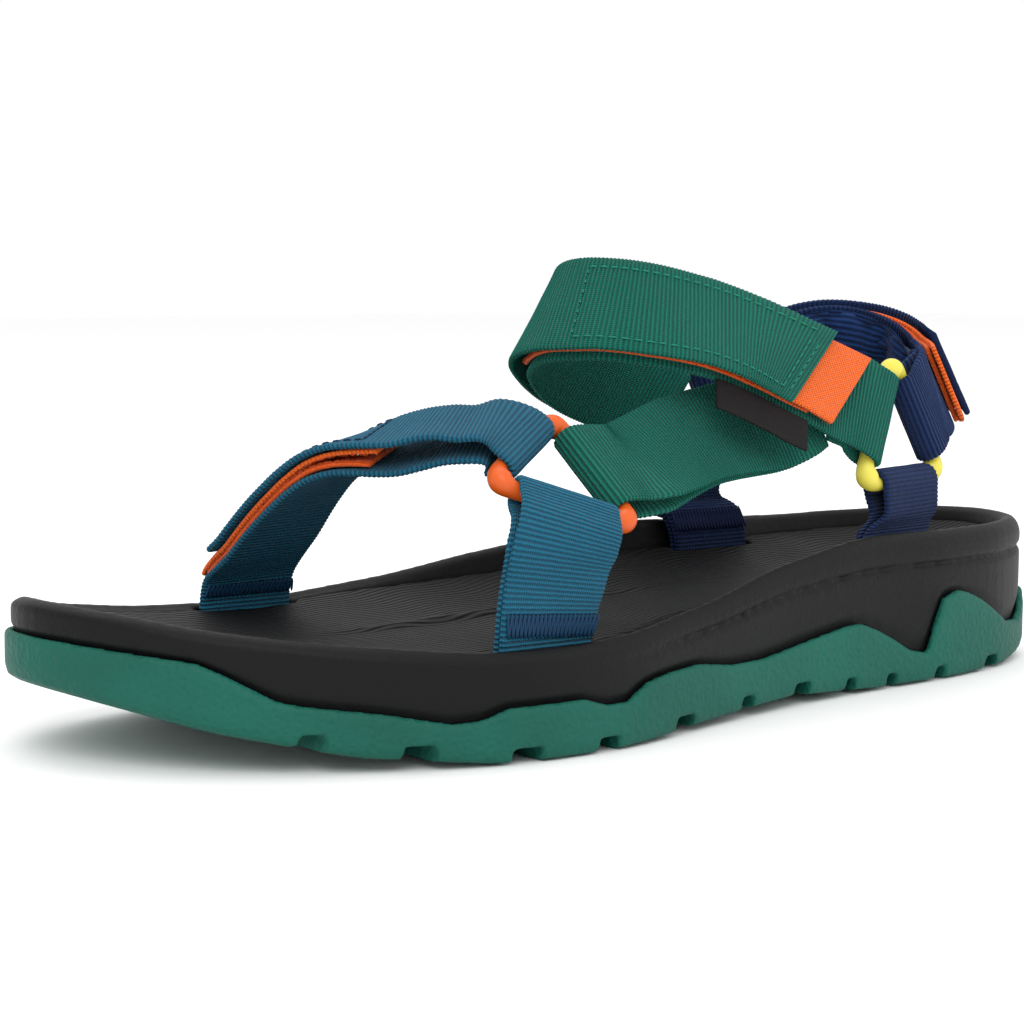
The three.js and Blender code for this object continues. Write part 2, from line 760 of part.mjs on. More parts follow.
const anchored = [
  [toeAnchorRoute, -1, LAYER_PITCH + WEB_THICK],
  [outerAnchorRoute, -1, LAYER_PITCH + WEB_THICK],
  [innerAnchorRoute, 1, LAYER_PITCH + WEB_THICK],
  [toeRoute, 1, WEB_THICK],
];

// Room for each anchored strap, reaching above its foot and out past the strap by edge.
function pockets(reach, edge) {
  return anchored.map(([route, side, thick]) => {
    const outwards = () => (side * edge) / 2;
    const frames = framesOn(route, -1, ANCHOR_DEPTH + reach, outwards, { width: WEB_WIDTH + 2 * POCKET_CLEAR });
    return ribbon(frames, thick + 2 * POCKET_CLEAR + edge);
  });
}

function shankFrames(width, grow) {
  const from = -0.24 * halfLength - grow;
  const to = from + SHANK_LENGTH + 2 * grow;
  return [0, 0.25, 0.5, 0.75, 1].map((share) => {
    const x = mix(from, to, share);
    const z = bedHeight(x) - FOOTBED_THICK - 2 * GAP - SHANK_THICK / 2;
    return { p: vec(x, -1.5, z), w: vec(0, 1, 0), n: vec(0, 0, 1), width };
  });
}

function shankPocket() {
  const frames = shankFrames(SHANK_WIDTH + 2 * GAP, GAP).map((f) => ({ ...f, p: f.p.clone().add(vec(0, 0, 1)) }));
  return ribbon(frames, SHANK_THICK + 2 * GAP + 2);
}

function treadCutters() {
  return TREAD_GROOVES.map(([along, width]) => {
    const x = along * halfLength;
    const box = new THREE.BoxGeometry(width, SOLE_WIDTH * 1.3, 2 * NOTCH_DEPTH);
    return box.translate(x, 0, floorHeight(x));
  });
}

// A short sewn bar across one face of a strap: side is 1 or -1 along the route's normal.
function tack(route, s, side, lift) {
  const face = (at) => side * (lift(at) + WEB_THICK / 2 + GAP + TACK_THICK / 2);
  return ribbon(framesOn(route, s, s + TACK_LENGTH, face), TACK_THICK);
}

addPart("outsole", cut(outsoleGeometry(), treadCutters()), colours.rubber, 0.7);
addPart("midsole", cut(midsoleGeometry(), [...pockets(9, 0), shankPocket()]), colours.foam);
addPart("footbed", cut(footbedGeometry(), pockets(12, SLOT_EDGE)), colours.foam);
addPart("shank", ribbon(shankFrames(SHANK_WIDTH, 0), SHANK_THICK), colours.nylon, 0.5);

addPart("toe_ring", ringGeometry(toeRing), colours.orange, 0.4);
addPart("outer_heel_ring", ringGeometry(outerRing), colours.yellow, 0.4);
addPart("inner_heel_ring", ringGeometry(innerHeelRing), colours.yellow, 0.4);

addPart("toe_anchor_strap", ribbon(doubledStrap(toeAnchorRoute), WEB_THICK), colours.teal);
addPart("outer_heel_anchor", ribbon(doubledStrap(outerAnchorRoute, 16), WEB_THICK), colours.navy);
addPart("inner_heel_anchor", ribbon(doubledStrap(innerAnchorRoute, 16), WEB_THICK), colours.navy);
addPart("side_strap", ribbon(doubledStrap(sideRoute, 45), WEB_THICK), colours.green);

const adjusters = [
  ["toe", toeFit, colours.teal],
  ["instep", instepFit, colours.green],
  ["heel", heelFit, colours.navy],
];
for (const [name, fit, colour] of adjusters) {
  addPart(`${name}_strap`, ribbon(strapFrames(fit), WEB_THICK), colour);
  addPart(`${name}_strap_flap`, ribbon(flapFrames(fit), WEB_THICK), colour);
  addPart(`${name}_loop_tape`, ribbon(loopFrames(fit), TAPE_THICK), colours.orange, 0.95);
  addPart(`${name}_hook_tape`, ribbon(hookFrames(fit), TAPE_THICK), colours.orange, 0.6);
}

addPart("heel_pad", ribbon(padFrames(heelFit), PAD_THICK), colours.navy);
addPart("side_label", ribbon(labelFrames, LABEL_THICK), colours.label);

const tacks = [
  ["toe_anchor_tack", toeAnchorRoute, ANCHOR_DEPTH + 3, -1, layerLift(toeAnchorRoute, 22), colours.teal],
  ["outer_heel_tack", outerAnchorRoute, ANCHOR_DEPTH + 3, 1, layerLift(outerAnchorRoute, 16), colours.navy],
  ["inner_heel_tack", innerAnchorRoute, ANCHOR_DEPTH + 3, -1, layerLift(innerAnchorRoute, 16), colours.navy],
  ["toe_strap_tack", toeRoute, ANCHOR_DEPTH + 3, -1, () => 0, colours.teal],
];
for (const [name, route, s, side, lift, colour] of tacks) {
  addPart(name, tack(route, s, side, lift), colour);
}

// The origin goes to the middle of the whole sandal's base.
const box = new THREE.Box3().setFromObject(sandal);
const middleOfBase = box.getCenter(vec(0, 0, 0)).setZ(box.min.z);
sandal.position.copy(middleOfBase.negate());

export default sandal;
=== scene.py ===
import json
import math
import random
import bmesh
import bpy
import numpy as np
from mathutils import Matrix, Vector, noise
from mathutils.kdtree import KDTree


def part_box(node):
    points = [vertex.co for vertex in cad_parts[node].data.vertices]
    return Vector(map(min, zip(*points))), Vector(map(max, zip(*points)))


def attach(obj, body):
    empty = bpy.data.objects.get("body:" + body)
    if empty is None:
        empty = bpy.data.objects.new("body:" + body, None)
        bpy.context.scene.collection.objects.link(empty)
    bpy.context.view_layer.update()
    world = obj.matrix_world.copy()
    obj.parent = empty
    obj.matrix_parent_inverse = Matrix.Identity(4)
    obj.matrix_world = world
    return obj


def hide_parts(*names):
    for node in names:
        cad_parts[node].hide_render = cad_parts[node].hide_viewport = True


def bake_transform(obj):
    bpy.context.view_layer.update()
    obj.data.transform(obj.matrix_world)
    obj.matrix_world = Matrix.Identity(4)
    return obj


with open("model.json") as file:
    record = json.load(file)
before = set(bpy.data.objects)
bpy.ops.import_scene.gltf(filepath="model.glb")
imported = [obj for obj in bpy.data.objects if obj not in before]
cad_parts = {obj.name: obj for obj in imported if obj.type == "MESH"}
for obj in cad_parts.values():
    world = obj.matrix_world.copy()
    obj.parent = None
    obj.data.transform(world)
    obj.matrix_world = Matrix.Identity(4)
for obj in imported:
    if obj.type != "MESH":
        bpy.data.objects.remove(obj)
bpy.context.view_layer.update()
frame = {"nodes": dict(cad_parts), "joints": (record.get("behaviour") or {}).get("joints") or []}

mm = 0.001
ribPitch = 1.05 * mm  # between the webbing's cross ribs
bandWidth = 24.6 * mm  # webbing kept this wide where it passes a ring's bar

# camera
view = {
    "azimuth": -37.93,
    "elevation": 6.07,
    "roll": 0.366,
    "distance": 0.59845,
    "target": (-0.01381, 0.01441, 0.04523),
    "lens": 86.15,
}


def addCamera(spec):
    turn, lift, roll = (math.radians(spec[k]) for k in ("azimuth", "elevation", "roll"))
    ahead = Vector((-math.sin(turn) * math.cos(lift), math.cos(turn) * math.cos(lift), -math.sin(lift)))
    level = Vector((math.cos(turn), math.sin(turn), 0))
    over = level.cross(ahead)
    right = level * math.cos(roll) + over * math.sin(roll)
    up = right.cross(ahead)
    camera = bpy.data.objects.new("mainCamera", bpy.data.cameras.new("mainCamera"))
    bpy.context.scene.collection.objects.link(camera)
    place = Matrix((right, up, -ahead)).transposed().to_4x4()
    place.translation = Vector(spec["target"]) - ahead * spec["distance"]
    camera.matrix_world = place
    camera.data.lens = spec["lens"]
    camera.data.sensor_width = 36
    camera.data.clip_start = 0.01
    bpy.context.scene.camera = camera


addCamera(view)
print("camera placed")


# finishes
def add(tree, kind, inputs=(), **settings):
    made = tree.nodes.new("ShaderNode" + kind)
    for key, value in settings.items():
        setattr(made, key, value)
    for key, value in dict(inputs).items():
        if isinstance(value, bpy.types.NodeSocket):
            tree.links.new(value, made.inputs[key])
        else:
            made.inputs[key].default_value = value
    return made


def calc(tree, operation, a, b=0.0, c=0.0):
    return add(tree, "Math", {0: a, 1: b, 2: c}, operation=operation).outputs[0]


def wave(tree, along, pitch):
    return calc(tree, "SINE", calc(tree, "MULTIPLY", along, 2 * math.pi / pitch))


def cloudy(tree, coords, scale, detail=3.0, rough=0.5):
    found = add(tree, "TexNoise", {"Vector": coords, "Scale": scale, "Detail": detail, "Roughness": rough})
    return found.outputs["Fac"]


def mixed(tree, share, a, b):
    found = add(tree, "Mix", {0: share}, data_type="RGBA")
    for key, value in ((6, a), (7, b)):
        if isinstance(value, bpy.types.NodeSocket):
            tree.links.new(value, found.inputs[key])
        else:
            found.inputs[key].default_value = (*value, 1)
    return found.outputs[2]


def startFinish(name):
    made = bpy.data.materials.new(name)
    made.use_nodes = True
    tree = made.node_tree
    return made, tree, tree.nodes["Principled BSDF"]


def finishWith(tree, shader, colour, roughness, height, depth, **fixed):
    bump = add(tree, "Bump", {"Height": height, "Distance": depth, "Strength": 1.0})
    tree.links.new(bump.outputs[0], shader.inputs["Normal"])
    tree.links.new(colour, shader.inputs["Base Color"])
    if isinstance(roughness, bpy.types.NodeSocket):
        tree.links.new(roughness, shader.inputs["Roughness"])
    else:
        shader.inputs["Roughness"].default_value = roughness
    for key, value in fixed.items():
        shader.inputs[key.replace("_", " ")].default_value = value


def linear(code):
    parts = [((code >> shift) & 255) / 255 for shift in (16, 8, 0)]
    return tuple(c / 12.92 if c <= 0.04045 else ((c + 0.055) / 1.055) ** 2.4 for c in parts)


def webbing(spec):
    made, tree, shader = startFinish(spec["name"])
    uv = add(tree, "TexCoord").outputs["UV"]
    place = add(tree, "TexCoord").outputs["Object"]
    split = add(tree, "SeparateXYZ", {0: uv})
    across, along = split.outputs[0], split.outputs[1]
    drift = calc(tree, "MULTIPLY", cloudy(tree, place, 700, 2), 0.22 * mm)
    ribs = wave(tree, calc(tree, "ADD", along, drift), ribPitch)
    warp = wave(tree, calc(tree, "ADD", across, drift), spec["thread"] * mm)
    height = calc(tree, "MULTIPLY_ADD", warp, spec["threadShare"], ribs)
    height = calc(tree, "MULTIPLY_ADD", cloudy(tree, place, 2600, 2), 0.5, height)
    # painted shade: where the weave's height is low, in the rib and thread valleys, the colour mixes towards
    # the dark tone
    shade = calc(tree, "MULTIPLY_ADD", height, 0.26, 0.42)
    wear = cloudy(tree, place, 60, 4)
    colour = mixed(tree, shade, linear(spec["dark"]), linear(spec["colour"]))
    colour = mixed(tree, calc(tree, "MULTIPLY", wear, 0.14), colour, linear(spec["light"]))
    depth = spec["depth"] * mm
    finishWith(tree, shader, colour, 0.85, height, depth, Sheen_Weight=0.06, Specular_IOR_Level=0.12)
    return made


webbings = {
    # dark: the painted shade colour of the weave's valleys
    "teal": {"name": "tealWebbing", "colour": 0x1E6F8E, "dark": 0x061F2E, "light": 0x3490B0},
    "green": {"name": "greenWebbing", "colour": 0x107664, "dark": 0x022E28, "light": 0x24947E},
    "navy": {"name": "navyWebbing", "colour": 0x142E5E, "dark": 0x050E24, "light": 0x284A84},
}
for spec in webbings.values():
    spec.update(thread=0.55, threadShare=0.35, depth=0.2)
fabrics = {key: webbing(spec) for key, spec in webbings.items()}


def threadFinish(name, code):
    made, tree, shader = startFinish(name)
    place = add(tree, "TexCoord").outputs["Object"]
    twist = cloudy(tree, place, 3000, 2)
    # painted shade: the thread is darker where its twist bump is low
    colour = mixed(tree, twist, tuple(c * 0.6 for c in linear(code)), linear(code))
    finishWith(tree, shader, colour, 0.6, twist, 0.05 * mm, Specular_IOR_Level=0.2)
    return made


threads = {
    "teal": threadFinish("tealThread", 0x123A5A),
    "green": threadFinish("greenThread", 0x1C8068),
    "navy": threadFinish("navyThread", 0x14244C),
    "orange": threadFinish("orangeThread", 0xD9571C),
    "black": threadFinish("blackThread", 0x2A2A2C),
}


def tapeFinish(spec):
    made, tree, shader = startFinish(spec["name"])
    place = add(tree, "TexCoord").outputs["Object"]
    uv = add(tree, "TexCoord").outputs["UV"]
    pile = cloudy(tree, place, spec["pile"], 4, 0.7)
    split = add(tree, "SeparateXYZ", {0: uv})
    pitch = spec["row"] * mm
    rows = calc(tree, "MULTIPLY", wave(tree, split.outputs[0], pitch), wave(tree, split.outputs[1], pitch))
    height = calc(tree, "MULTIPLY_ADD", rows, spec["rows"], pile)
    # painted shade: the pile's and the hook rows' low spots mix towards the dark tone
    shade = calc(tree, "MULTIPLY_ADD", height, 0.9, 0.1)
    colour = mixed(tree, shade, linear(spec["dark"]), linear(spec["colour"]))
    depth = spec["depth"] * mm
    finishWith(tree, shader, colour, 0.9, height, depth, Sheen_Weight=0.15, Specular_IOR_Level=0.1)
    return made


tapes = {
    # dark: the painted shade colour of the tape's low spots
    "loop": tapeFinish({
        "name": "orangeLoopPile",
        "colour": 0xF8681E,
        "dark": 0xA03208,
        "pile": 1500,
        "row": 1.2,
        "rows": 0.1,
        "depth": 0.5,
    }),
    "hook": tapeFinish({
        "name": "orangeHookTape",
        "colour": 0xFF7422,
        "dark": 0xCC480C,
        "pile": 2200,
        "row": 1.0,
        "rows": 0.6,
        "depth": 0.25,
    }),
}


def mouldedFinish(spec):
    made, tree, shader = startFinish(spec["name"])
    place = add(tree, "TexCoord").outputs["Object"]
    cells = {"Vector": place, "Scale": spec["grain"], "Randomness": 1.0}
    grain = add(tree, "TexVoronoi", cells, feature="SMOOTH_F1").outputs["Distance"]
    fine = cloudy(tree, place, spec["fine"], 4, 0.6)
    powder = calc(tree, "MULTIPLY", fine, 1 - spec["grainShare"])
    height = calc(tree, "MULTIPLY_ADD", grain, spec["grainShare"], powder)
    if "ribs" in spec:
        split = add(tree, "SeparateXYZ", {0: place})
        bend = calc(tree, "MULTIPLY_ADD", wave(tree, split.outputs[0], 26 * mm), 1.2 * mm, split.outputs[1])
        ribs = wave(tree, bend, spec["ribs"] * mm)
        height = calc(tree, "MULTIPLY_ADD", ribs, 2.2, height)
    broad = cloudy(tree, place, 30, 3)
    colour = mixed(tree, broad, linear(spec["dark"]), linear(spec["colour"]))
    rough = calc(tree, "MULTIPLY_ADD", fine, 0.18, spec["rough"])
    finishWith(tree, shader, colour, rough, height, spec["depth"] * mm, Specular_IOR_Level=spec["shine"])
    return made


moulded = {
    "rubber": {
        "name": "greenRubber",
        "colour": 0x126656,
        "dark": 0x0B453A,
        "grain": 760,
        "grainShare": 0.75,
        "fine": 1300,
        "rough": 0.48,
        "depth": 0.6,
        "shine": 0.22,
    },
    "foam": {
        "name": "blackFoam",
        "colour": 0x0B0B0C,
        "dark": 0x070708,
        "grain": 900,
        "grainShare": 0.3,
        "fine": 1500,
        "rough": 0.42,
        "depth": 0.14,
        "shine": 0.18,
    },
    "footbed": {
        "name": "ribbedFootbed",
        "colour": 0x121213,
        "dark": 0x0B0B0C,
        "grain": 900,
        "grainShare": 0.3,
        "fine": 1500,
        "rough": 0.5,
        "depth": 0.12,
        "shine": 0.16,
        "ribs": 2.0,
    },
    "nylon": {
        "name": "palePlate",
        "colour": 0xD8D4C8,
        "dark": 0xBDB8AA,
        "grain": 400,
        "grainShare": 0.2,
        "fine": 900,
        "rough": 0.5,
        "depth": 0.05,
        "shine": 0.4,
    },
    "orange": {
        "name": "orangeRing",
        "colour": 0xDE5E16,
        "dark": 0xCC500E,
        "grain": 300,
        "grainShare": 0.3,
        "fine": 700,
        "rough": 0.32,
        "depth": 0.03,
        "shine": 0.4,
    },
    "yellow": {
        "name": "yellowRing",
        "colour": 0xE8DC5A,
        "dark": 0xD8CA48,
        "grain": 300,
        "grainShare": 0.3,
        "fine": 700,
        "rough": 0.3,
        "depth": 0.03,
        "shine": 0.4,
    },
}
moulded = {key: mouldedFinish(spec) for key, spec in moulded.items()}


def labelFinish():
    made, tree, shader = startFinish("blackLabel")
    uv = add(tree, "TexCoord").outputs["UV"]
    split = add(tree, "SeparateXYZ", {0: uv})
    warp, weft = wave(tree, split.outputs[0], 0.5 * mm), wave(tree, split.outputs[1], 0.4 * mm)
    satin = calc(tree, "MULTIPLY", warp, weft)
    place = add(tree, "TexCoord").outputs["Object"]
    height = calc(tree, "MULTIPLY_ADD", cloudy(tree, place, 1800, 3), 0.6, satin)
    # painted shade: the satin weave's low spots are darker
    colour = mixed(tree, calc(tree, "MULTIPLY_ADD", height, 0.3, 0.4), linear(0x100E0F), linear(0x232021))
    finishWith(tree, shader, colour, 0.7, height, 0.06 * mm, Specular_IOR_Level=0.15)
    return made


def padFinish():
    made, tree, shader = startFinish("navyLining")
    place = add(tree, "TexCoord").outputs["Object"]
    split = add(tree, "SeparateXYZ", {0: add(tree, "TexCoord").outputs["UV"]})
    brushed = cloudy(tree, place, 1600, 4, 0.7)
    ribs = wave(tree, split.outputs[0], 1.5 * mm)
    height = calc(tree, "MULTIPLY_ADD", ribs, 0.8, brushed)
    # painted shade: the rib valleys and the brushed nap's low spots are darker
    colour = mixed(tree, calc(tree, "MULTIPLY_ADD", height, 0.4, 0.3), linear(0x0A1734), linear(0x1E3C70))
    finishWith(tree, shader, colour, 0.9, height, 0.2 * mm, Sheen_Weight=0.1, Specular_IOR_Level=0.1)
    return made


print("finishes made")


# bands: webbing, tapes and pads follow the frame's own sections
def welded(node):
    mesh = frame["nodes"][node].data
    tree = KDTree(len(mesh.vertices))
    for vertex in mesh.vertices:
        tree.insert(vertex.co, vertex.index)
    tree.balance()
    lead = [min(i for _, i, _ in tree.find_range(v.co, 0.05 * mm)) for v in mesh.vertices]
    number = {i: k for k, i in enumerate(sorted(set(lead)))}
    points = [np.array(mesh.vertices[i].co) for i in number]
    triangles = [[number[lead[i]] for i in face.vertices] for face in mesh.polygons]
    return points, triangles


def sectionsFrom(ring, linked):
    seen, sections = set(ring), []
    while ring:
        sections.append(sorted(ring))
        ring = set().union(*[linked[i] for i in ring]) - seen
        seen |= ring
    return sections


def traceBand(node, startNear, side):
    points, triangles = welded(node)
    linked = {i: set() for i in range(len(points))}
    for triangle in triangles:
        for i in triangle:
            linked[i].update(triangle)
    ends = {}
    for triangle in triangles:
        for other in triangles:
            ring = frozenset(triangle + other)
            if len(ring) == 4 and ring not in ends:
                sections = sectionsFrom(set(ring), linked)
                if len(sections) * 4 == len(points) and all(len(s) == 4 for s in sections):
                    ends[ring] = sections
    start = np.array(startNear)
    sections = min(ends.values(), key=lambda s: np.linalg.norm(np.mean([points[i] for i in s[0]], 0) - start))
    frames = []
    for ring in sections:
        corners = [points[i] for i in ring]
        centre = np.mean(corners, 0)
        others = sorted(corners[1:], key=lambda p: np.linalg.norm(p - corners[0]))
        half = (corners[0] + others[0]) / 2 - centre
        thick = np.linalg.norm(corners[0] - others[0]) / 2
        wanted = frames[-1][1] if frames else np.array(side, float)
        frames.append((centre, half * (1 if half @ wanted > 0 else -1), thick))
    return frames


def resampled(frames, spacing, fullWidth=0.0):
    centres = np.array([f[0] for f in frames])
    keys = np.column_stack([centres, [f[1] for f in frames], [f[2] for f in frames]])
    lengths = np.concatenate([[0], np.cumsum(np.linalg.norm(np.diff(centres, axis=0), axis=1))])
    count = max(2, int(lengths[-1] / spacing))
    wanted = np.linspace(0, lengths[-1], count + 1)
    slopes = np.gradient(keys, lengths, axis=0)
    place = np.clip(np.searchsorted(lengths, wanted, "right") - 1, 0, len(lengths) - 2)
    step = (lengths[place + 1] - lengths[place])[:, None]
    t = (wanted - lengths[place])[:, None] / step
    a, b, m, n = keys[place], keys[place + 1], slopes[place] * step, slopes[place + 1] * step
    eased = (2 * t**3 - 3 * t**2 + 1) * a + (t**3 - 2 * t**2 + t) * m
    eased = eased + (3 * t**2 - 2 * t**3) * b + (t**3 - t**2) * n
    ahead = np.gradient(eased[:, :3], wanted, axis=0)
    side = eased[:, 3:6]
    half = np.linalg.norm(side, axis=1)[:, None]
    side *= np.maximum(1, fullWidth / 2 / half)
    out = np.cross(ahead, side)
    out /= np.linalg.norm(out, axis=1)[:, None]
    return {"s": wanted, "p": eased[:, :3], "w": side, "n": out, "thick": eased[:, 6]}


weaveStep = 0.3 * mm  # between a band's sections


def at(band, s, inset, lift=0.0, face=1):
    values = []
    for key in ("p", "w", "n"):
        values.append(np.array([np.interp(s, band["s"], band[key][:, i]) for i in range(3)]))
    p, w, n = values
    half = np.linalg.norm(w)
    inset = inset if inset >= 0 else 2 * half + inset
    return p + w * (1 - inset / half) + n * face * (np.interp(s, band["s"], band["thick"]) + lift)


def newObject(name, points, faces, uvs, finishes, which=None):
    mesh = bpy.data.meshes.new(name)
    mesh.from_pydata([tuple(p) for p in points], [], faces)
    layer = mesh.uv_layers.new(name="UVMap")
    flat = [c for face in mesh.polygons for i in face.vertices for c in uvs[i]]
    layer.data.foreach_set("uv", flat)
    for finish in finishes:
        mesh.materials.append(finish)
    mesh.polygons.foreach_set("use_smooth", [True] * len(mesh.polygons))
    if which:
        mesh.polygons.foreach_set("material_index", which)
    mesh.update()
    made = bpy.data.objects.new(name, mesh)
    bpy.context.scene.collection.objects.link(made)
    return made


def bandShell(band, ribs, cells=12, rough=0.1 * mm):
    count = len(band["s"])
    points, uvs, faces = [], [], []
    for i in range(count):
        p, w, n, thick = band["p"][i], band["w"][i], band["n"][i], band["thick"][i]
        half = np.linalg.norm(w)
        edge = thick / half
        across = [(-1 + edge + (2 - 2 * edge) * k / cells, 1) for k in range(cells + 1)]
        round1 = [(1 - edge + edge * math.sin(a), math.cos(a)) for a in (0.7, math.pi / 2, math.pi - 0.7)]
        ring = across + round1 + [(-a, -b) for a, b in across + round1]
        ripple = rough * noise.noise(Vector(p) * 90)
        rib = ribs * math.sin(2 * math.pi * band["s"][i] / ribPitch)
        for a, b in ring:
            wobble = rough * noise.noise(Vector(p + w * a) * 160)
            points.append(p + w * (a * (1 + rib / half) + ripple / half) + n * (b * (thick + rib) + wobble))
            uvs.append((a * half, band["s"][i]))
    size = len(points) // count
    for i in range(count - 1):
        for k in range(size):
            a, b = i * size + k, i * size + (k + 1) % size
            faces.append((b, a, a + size, b + size))
    faces.append(tuple(range(size)))
    faces.append(tuple(reversed(range((count - 1) * size, count * size))))
    return points, uvs, faces


def strand(points, uvs, faces, line, radius, sides=5):
    first = len(points)
    for i, p in enumerate(line):
        ahead = line[min(i + 1, len(line) - 1)] - line[max(i - 1, 0)]
        ahead = ahead / np.linalg.norm(ahead)
        side = np.cross(ahead, [0.3, 0.2, 0.93])
        side /= np.linalg.norm(side)
        other = np.cross(ahead, side)
        reach = radius * (0.45 if i in (0, len(line) - 1) else 1)
        for k in range(sides):
            a = 2 * math.pi * k / sides
            points.append(p + reach * (side * math.cos(a) + other * math.sin(a)))
            uvs.append((0.0, i * mm))
    for i in range(len(line) - 1):
        for k in range(sides):
            a, b = first + i * sides + k, first + i * sides + (k + 1) % sides
            faces.append((b, a, a + sides, b + sides))
    faces.append(tuple(range(first, first + sides)))
    faces.append(tuple(reversed(range(len(points) - sides, len(points)))))


def stitchLift(k):
    return (0.2 if 0 < k < 4 else -0.1) * mm  # a stitch dives in at both its ends


def stitchesAlong(band, inset, start, end, step=2.7 * mm, face=-1):
    s, lines = start, []
    while s + 0.8 * step < end:
        stops = [s + share * 0.8 * step for share in (0, 0.25, 0.5, 0.75, 1)]
        lines.append([at(band, v, inset, stitchLift(k), face) for k, v in enumerate(stops)])
        s += step
    return lines


def stitchesAcross(band, s, inset, step=2.7 * mm, face=-1):
    width = 2 * np.linalg.norm(band["w"][0])
    u, lines = inset, []
    while u + 0.8 * step < width - inset:
        stops = [u + share * 0.8 * step for share in (0, 0.25, 0.5, 0.75, 1)]
        lines.append([at(band, s, v, stitchLift(k), face) for k, v in enumerate(stops)])
        u += step
    return lines


def fuzzOn(band, count, reach, face):
    chance = random.Random(count)
    lines = []
    for _ in range(count):
        s = chance.uniform(band["s"][0], band["s"][-1])
        width = 2 * np.linalg.norm(band["w"][0])
        edge = chance.random() < 0.5
        inset = chance.choice([0.2 * mm, width - 0.2 * mm]) if edge else chance.uniform(0, width)
        root = at(band, s, inset, -0.2 * mm, face)
        spread = [chance.uniform(-0.5, 0.5) * reach for _ in range(2)]
        tip = at(band, s + spread[0], max(0, inset + spread[1]), chance.uniform(0.2, 1) * reach, face)
        bend = (root + tip) / 2 + np.array([chance.uniform(-1, 1) for _ in range(3)]) * 0.25 * reach
        lines.append([root, bend, tip])
    return lines


def bandObject(spec, band, lines, finishes):
    points, uvs, faces = bandShell(band, spec.get("ribs", 0.0) * mm)
    shellFaces = len(faces)
    for line in lines:
        strand(points, uvs, faces, line, spec.get("strand", 0.26) * mm)
    which = [0] * shellFaces + [1] * (len(faces) - shellFaces)
    return newObject(spec["name"], points, faces, uvs, finishes, which)


def joined(first, second, gap=0.3 * mm):
    later = {**second, "s": second["s"] + first["s"][-1] + gap}
    return {k: np.concatenate([first[k], later[k]]) for k in first}


def cut(band, start, end):
    keep = (band["s"] >= start) & (band["s"] <= end)
    return {k: v[keep] - (start if k == "s" else 0) for k, v in band.items()}


# adjustable straps
def middleOf(node):
    low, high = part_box(node)
    return (np.array(low) + np.array(high)) / 2


hinges = {j["child"]: np.array(j["pos_m"]) for j in frame["joints"]}


def blendAcross(piece, hinge, band, reach=11 * mm):
    nearest = int(np.argmin(np.linalg.norm(band["p"] - hinge, axis=1)))
    few = int(3 * mm / (band["s"][1] - band["s"][0]))
    along = band["p"][nearest + few] - band["p"][nearest - few]
    along *= reach / np.linalg.norm(along)
    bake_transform(piece)


# turn: the outer layer's length, from under the bar round to the bend line
straps = [
    {"key": "toe", "colour": "teal", "startNear": (-0.071, 0.05, 0.02), "side": (1, 0, 0), "turn": 42},
    {"key": "instep", "colour": "green", "startNear": (0.06, -0.03, 0.06), "side": (0, 0, -1), "turn": 88},
    {"key": "heel", "colour": "navy", "startNear": (0.11, -0.02, 0.07), "side": (0, 0, 1), "turn": 58},
]


def makeStrap(spec):
    key, colour, turn = spec["key"], spec["colour"], spec["turn"] * mm
    hinge = hinges[key + "_flap"]
    band = resampled(traceBand(key + "_strap", spec["startNear"], spec["side"]), weaveStep, bandWidth)
    length = band["s"][-1]
    flapBand = resampled(traceBand(key + "_strap_flap", hinge, band["w"][-1]), weaveStep)
    outer = joined(cut(band, length - turn - 2 * weaveStep, length), flapBand)
    end = outer["s"][-1]
    lines = []
    for inset in (3 * mm, -3 * mm):
        lines += stitchesAlong(outer, inset, turn + 4 * mm, end - 3 * mm)
    for back in (end - turn - 4 * mm, 3 * mm, 5.6 * mm):
        lines += stitchesAcross(outer, end - back, 3 * mm)
    finishes = [fabrics[colour], threads[colour]]
    base = bandObject({"name": key + "StrapWebbing", "ribs": 0.1}, cut(band, 0, length - turn), [], finishes)
    flap = bandObject({"name": key + "FlapWebbing", "ribs": 0.1}, outer, lines, finishes)
    side = outer["w"][np.argmin(np.linalg.norm(outer["p"] - hinge, axis=1))]
    hookBand = resampled(traceBand(key + "_hook_tape", hinge, side), weaveStep)
    hooks = fuzzOn(hookBand, 500, 0.35 * mm, 1)
    hookSpec = {"name": key + "HookTape", "strand": 0.09}
    hook = bandObject(hookSpec, hookBand, hooks, [tapes["hook"], threads["orange"]])
    loopBand = resampled(traceBand(key + "_loop_tape", hinge, side), weaveStep)
    pile = fuzzOn(loopBand, 2600, 0.55 * mm, -1)
    loopSpec = {"name": key + "LoopTape", "strand": 0.08}
    loop = bandObject(loopSpec, loopBand, pile, [tapes["loop"], threads["orange"]])
    pieces = [
        (base, "_strap", colour + "_webbing"),
        (flap, "_strap_flap", colour + "_webbing"),
        (hook, "_hook_tape", "hook_tape"),
        (loop, "_loop_tape", "loop_tape"),
    ]
    for piece, node, slot in pieces:
        if piece in (flap, hook):
            blendAcross(piece, hinge, outer)
        else:
            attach(piece, "sandal_base")
        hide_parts(key + node)


for spec in straps:
    makeStrap(spec)
print("adjustable straps made")

